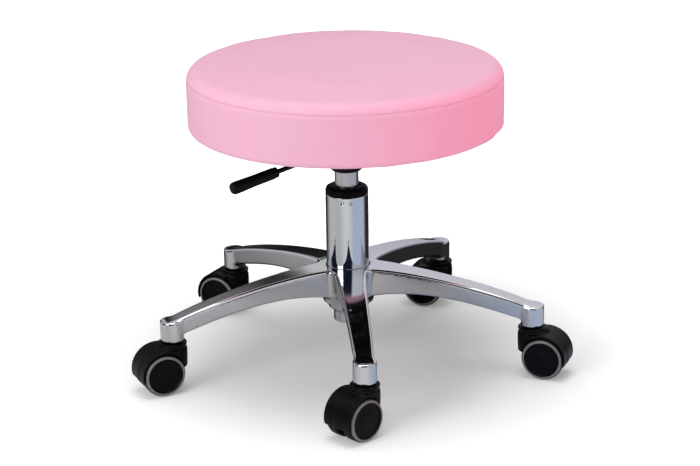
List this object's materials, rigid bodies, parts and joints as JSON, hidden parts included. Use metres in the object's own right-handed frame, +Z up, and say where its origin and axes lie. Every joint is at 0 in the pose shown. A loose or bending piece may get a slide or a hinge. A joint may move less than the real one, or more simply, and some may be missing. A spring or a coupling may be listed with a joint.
{
  "type": "pedicure stool",
  "caption": "Low round stool with a pink upholstered cushion on a short gas lift, side release lever, five-arm chrome base and swivelling twin-wheel casters.",
  "frame": {"origin": "centre of the whole stool's bounding box, on the floor; the column axis stands at x = -0.1 mm, y = +22.6 mm", "axes": "+Z up, arm 1 of the base towards -Y, the release lever towards -X and a little -Y"},
  "size_m": [0.5152, 0.4826, 0.365],
  "materials": {
    "pink_vinyl": "satin",
    "foam": "matte",
    "plywood": "matte",
    "black_fabric": "matte",
    "black_steel": "satin",
    "black_rod": "satin",
    "black_grip": "satin",
    "black_plastic": "satin",
    "wheel_black": "satin",
    "black_rubber": "matte",
    "satin_steel": "satin",
    "bright_steel": "polished",
    "chrome_steel": "polished",
    "chrome_cast": "polished"
  },
  "bodies": {
    "base": {"base_star": "chrome_cast", "column_tube": "chrome_steel", "guide_bush": "black_plastic", "bearing_lower_race": "bright_steel", "bearing_cage": "bright_steel", "caster_1_ring": "bright_steel", "caster_2_ring": "bright_steel", "caster_3_ring": "bright_steel", "caster_4_ring": "bright_steel", "caster_5_ring": "bright_steel"},
    "spindle": {"bearing_upper_race": "bright_steel", "bump_stop": "black_rubber", "retaining_clip": "bright_steel", "piston_rod": "bright_steel", "piston": "black_plastic"},
    "seat": {"gas_cylinder": "satin_steel", "rod_gland": "black_plastic", "seat_plate": "black_steel", "lever_pin": "bright_steel", "dust_cover": "black_fabric", "seat_board": "plywood", "seat_bolt_1": "bright_steel", "seat_bolt_2": "bright_steel", "seat_bolt_3": "bright_steel", "seat_bolt_4": "bright_steel", "t_nut_1": "bright_steel", "t_nut_2": "bright_steel", "t_nut_3": "bright_steel", "t_nut_4": "bright_steel", "seat_foam": "foam", "seat_cover": "pink_vinyl"},
    "release_pin": {"release_pin": "bright_steel"},
    "lever": {"lever_rod": "black_rod", "lever_grip": "black_grip"},
    "caster_1": {"caster_1_hood": "black_plastic", "caster_1_stem": "bright_steel", "caster_1_axle": "bright_steel"},
    "caster_1_wheel_a": {"caster_1_wheel_a": "wheel_black"},
    "caster_1_wheel_b": {"caster_1_wheel_b": "wheel_black"},
    "caster_2": {"caster_2_hood": "black_plastic", "caster_2_stem": "bright_steel", "caster_2_axle": "bright_steel"},
    "caster_2_wheel_a": {"caster_2_wheel_a": "wheel_black"},
    "caster_2_wheel_b": {"caster_2_wheel_b": "wheel_black"},
    "caster_3": {"caster_3_hood": "black_plastic", "caster_3_stem": "bright_steel", "caster_3_axle": "bright_steel"},
    "caster_3_wheel_a": {"caster_3_wheel_a": "wheel_black"},
    "caster_3_wheel_b": {"caster_3_wheel_b": "wheel_black"},
    "caster_4": {"caster_4_hood": "black_plastic", "caster_4_stem": "bright_steel", "caster_4_axle": "bright_steel"},
    "caster_4_wheel_a": {"caster_4_wheel_a": "wheel_black"},
    "caster_4_wheel_b": {"caster_4_wheel_b": "wheel_black"},
    "caster_5": {"caster_5_hood": "black_plastic", "caster_5_stem": "bright_steel", "caster_5_axle": "bright_steel"},
    "caster_5_wheel_a": {"caster_5_wheel_a": "wheel_black"},
    "caster_5_wheel_b": {"caster_5_wheel_b": "wheel_black"}
  },
  "joints": [
    {"name": "seat_swivel", "type": "hinge", "parent": "base", "child": "spindle", "pos_m": [-0.00006, 0.02261, 0.06], "axis": [0, 0, 1], "continuous": true},
    {"name": "seat_lift", "type": "slide", "parent": "spindle", "child": "seat", "axis": [0, 0, 1], "range_m": [-0.01, 0.1]},
    {"name": "lever_lift", "type": "hinge", "parent": "seat", "child": "lever", "pos_m": [-0.02032, 0.01401, 0.2604], "axis": [-0.3907, 0.9205, 0], "range_deg": [0, 6]},
    {"name": "release_pin_press", "type": "slide", "parent": "seat", "child": "release_pin", "axis": [0, 0, -1], "range_m": [0, 0.0024]},
    {"name": "caster_1_swivel", "type": "hinge", "parent": "base", "child": "caster_1", "pos_m": [-0.00006, -0.19689, 0.06], "axis": [0, 0, 1], "continuous": true},
    {"name": "caster_1_spin_a", "type": "hinge", "parent": "caster_1", "child": "caster_1_wheel_a", "pos_m": [-0.01309, -0.20782, 0.025], "axis": [0.6428, -0.766, 0], "continuous": true},
    {"name": "caster_1_spin_b", "type": "hinge", "parent": "caster_1", "child": "caster_1_wheel_b", "pos_m": [-0.01309, -0.20782, 0.025], "axis": [0.6428, -0.766, 0], "continuous": true},
    {"name": "caster_2_swivel", "type": "hinge", "parent": "base", "child": "caster_2", "pos_m": [0.20869, -0.04522, 0.06], "axis": [0, 0, 1], "continuous": true},
    {"name": "caster_2_spin_a", "type": "hinge", "parent": "caster_2", "child": "caster_2_wheel_a", "pos_m": [0.2241, -0.05241, 0.025], "axis": [0.4226, 0.9063, 0], "continuous": true},
    {"name": "caster_2_spin_b", "type": "hinge", "parent": "caster_2", "child": "caster_2_wheel_b", "pos_m": [0.2241, -0.05241, 0.025], "axis": [0.4226, 0.9063, 0], "continuous": true},
    {"name": "caster_3_swivel", "type": "hinge", "parent": "base", "child": "caster_3", "pos_m": [0.12895, 0.20018, 0.06], "axis": [0, 0, 1], "continuous": true},
    {"name": "caster_3_spin_a", "type": "hinge", "parent": "caster_3", "child": "caster_3_wheel_a", "pos_m": [0.11342, 0.2071, 0.025], "axis": [-0.4067, -0.9135, 0], "continuous": true},
    {"name": "caster_3_spin_b", "type": "hinge", "parent": "caster_3", "child": "caster_3_wheel_b", "pos_m": [0.11342, 0.2071, 0.025], "axis": [-0.4067, -0.9135, 0], "continuous": true},
    {"name": "caster_4_swivel", "type": "hinge", "parent": "base", "child": "caster_4", "pos_m": [-0.12908, 0.20018, 0.06], "axis": [0, 0, 1], "continuous": true},
    {"name": "caster_4_spin_a", "type": "hinge", "parent": "caster_4", "child": "caster_4_wheel_a", "pos_m": [-0.1435, 0.20919, 0.025], "axis": [-0.5299, -0.848, 0], "continuous": true},
    {"name": "caster_4_spin_b", "type": "hinge", "parent": "caster_4", "child": "caster_4_wheel_b", "pos_m": [-0.1435, 0.20919, 0.025], "axis": [-0.5299, -0.848, 0], "continuous": true},
    {"name": "caster_5_swivel", "type": "hinge", "parent": "base", "child": "caster_5", "pos_m": [-0.20882, -0.04522, 0.06], "axis": [0, 0, 1], "continuous": true},
    {"name": "caster_5_spin_a", "type": "hinge", "parent": "caster_5", "child": "caster_5_wheel_a", "pos_m": [-0.22469, -0.05132, 0.025], "axis": [0.3584, -0.9336, 0], "continuous": true},
    {"name": "caster_5_spin_b", "type": "hinge", "parent": "caster_5", "child": "caster_5_wheel_b", "pos_m": [-0.22469, -0.05132, 0.025], "axis": [0.3584, -0.9336, 0], "continuous": true}
  ],
  "couplings": [
    {"joint": "release_pin_press", "follows": "lever_lift", "m_per_rad": 0.022}
  ]
}
